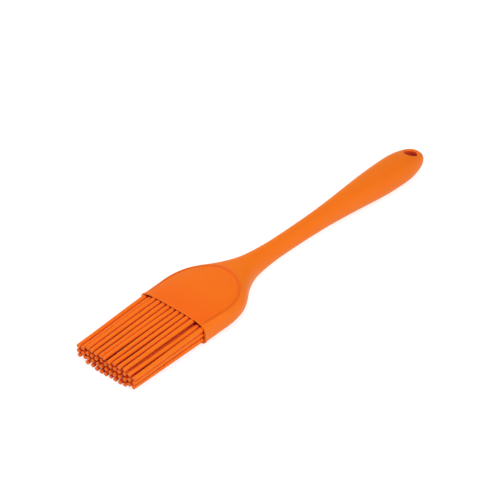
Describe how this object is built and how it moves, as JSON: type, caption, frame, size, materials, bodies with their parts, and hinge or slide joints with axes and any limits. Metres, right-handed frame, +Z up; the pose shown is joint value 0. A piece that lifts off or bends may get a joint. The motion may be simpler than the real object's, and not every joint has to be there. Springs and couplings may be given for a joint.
{
  "type": "pastry brush",
  "caption": "Silicone pastry brush: flat paddle head holding a tuft of round flexible bristles, slim round neck and swelling oval grip with a hang hole.",
  "frame": {"origin": "centre of the hang hole near the end of the grip", "axes": "+X along the handle from the bristles towards the hang-hole end, +Y across the width, +Z up through the thickness, parallel to the hang hole's axis"},
  "size_m": [0.199, 0.0385, 0.0132],
  "materials": {
    "silicone_skin": "matt moulded orange silicone",
    "silicone_bristles": "satin moulded orange silicone",
    "core_nylon": "natural glass-filled nylon, moulded"
  },
  "bodies": {
    "handle": {"handle_sleeve": "silicone_skin", "handle_core": "core_nylon", "bristle_block": "silicone_bristles"},
    "bristle_row_top": {"bristle_row_top": "silicone_bristles"},
    "bristle_row_upper": {"bristle_row_upper": "silicone_bristles"},
    "bristle_row_lower": {"bristle_row_lower": "silicone_bristles"},
    "bristle_row_bottom": {"bristle_row_bottom": "silicone_bristles"},
    "end_bristles_top": {"end_bristles_top": "silicone_bristles"},
    "end_bristles_middle": {"end_bristles_middle": "silicone_bristles"},
    "end_bristles_bottom": {"end_bristles_bottom": "silicone_bristles"}
  },
  "joints": [
    {"name": "bristle_row_top_flex", "type": "hinge", "parent": "handle", "child": "bristle_row_top", "pos_m": [-0.1536, 0, 0.00447], "axis": [0, 1, 0], "range_deg": [-25, 25], "stiffness_Nm_per_rad": 0.006},
    {"name": "bristle_row_upper_flex", "type": "hinge", "parent": "handle", "child": "bristle_row_upper", "pos_m": [-0.1536, 0, 0.00169], "axis": [0, 1, 0], "range_deg": [-25, 25], "stiffness_Nm_per_rad": 0.006},
    {"name": "bristle_row_lower_flex", "type": "hinge", "parent": "handle", "child": "bristle_row_lower", "pos_m": [-0.1536, 0, -0.00109], "axis": [0, 1, 0], "range_deg": [-25, 25], "stiffness_Nm_per_rad": 0.006},
    {"name": "bristle_row_bottom_flex", "type": "hinge", "parent": "handle", "child": "bristle_row_bottom", "pos_m": [-0.1536, 0, -0.00387], "axis": [0, 1, 0], "range_deg": [-25, 25], "stiffness_Nm_per_rad": 0.006},
    {"name": "end_bristles_top_flex", "type": "hinge", "parent": "handle", "child": "end_bristles_top", "pos_m": [-0.1536, 0, 0.0028], "axis": [0, 1, 0], "range_deg": [-25, 25], "stiffness_Nm_per_rad": 0.002667},
    {"name": "end_bristles_middle_flex", "type": "hinge", "parent": "handle", "child": "end_bristles_middle", "pos_m": [-0.1536, 0, 0.0003], "axis": [0, 1, 0], "range_deg": [-25, 25], "stiffness_Nm_per_rad": 0.002667},
    {"name": "end_bristles_bottom_flex", "type": "hinge", "parent": "handle", "child": "end_bristles_bottom", "pos_m": [-0.1536, 0, -0.0022], "axis": [0, 1, 0], "range_deg": [-25, 25], "stiffness_Nm_per_rad": 0.002667}
  ],
  "couplings": [
    {"joint": "bristle_row_upper_flex", "follows": "bristle_row_top_flex", "ratio": 1},
    {"joint": "bristle_row_lower_flex", "follows": "bristle_row_top_flex", "ratio": 1},
    {"joint": "bristle_row_bottom_flex", "follows": "bristle_row_top_flex", "ratio": 1},
    {"joint": "end_bristles_top_flex", "follows": "bristle_row_top_flex", "ratio": 1},
    {"joint": "end_bristles_middle_flex", "follows": "bristle_row_top_flex", "ratio": 1},
    {"joint": "end_bristles_bottom_flex", "follows": "bristle_row_top_flex", "ratio": 1}
  ]
}
